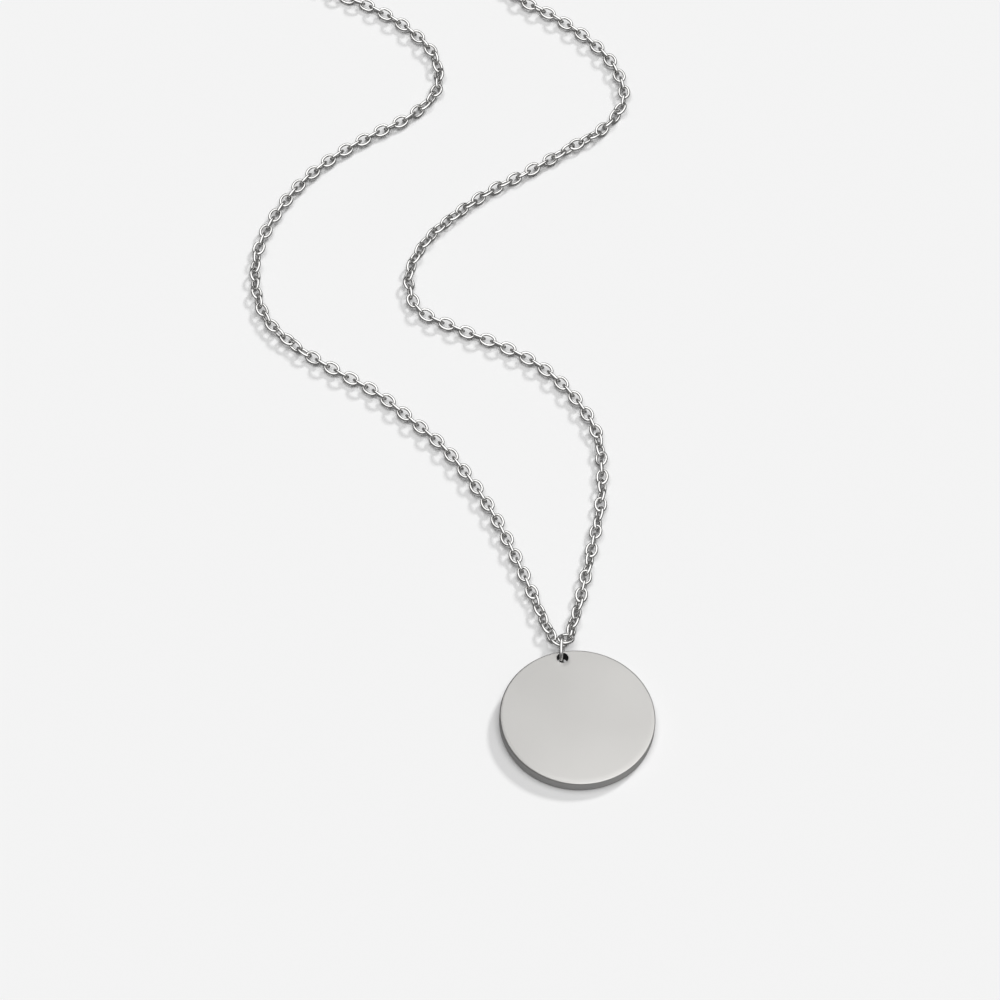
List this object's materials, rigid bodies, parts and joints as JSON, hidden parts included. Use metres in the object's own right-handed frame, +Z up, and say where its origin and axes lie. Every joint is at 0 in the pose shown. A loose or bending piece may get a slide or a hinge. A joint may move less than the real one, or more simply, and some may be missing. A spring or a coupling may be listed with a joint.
{
  "type": "coin necklace",
  "caption": "Blank round coin pendant on an upright jump ring, threaded on a fine cable chain that lies in loose curves and closes with a plain claw clasp.",
  "frame": {"origin": "middle of the bounding box on the surface that the necklace lies on", "axes": "+Z up from the surface, +Y from the coin along the loop to the clasp at the back, +X to the right in the picture"},
  "size_m": [0.0732, 0.1989, 0.005],
  "materials": {
    "satin_steel": "satin",
    "polished_steel": "polished"
  },
  "bodies": {
    "root": {"coin": "satin_steel", "jump_ring": "polished_steel", "chain_left": "polished_steel", "chain_right": "polished_steel", "clasp": "polished_steel"}
  },
  "joints": []
}
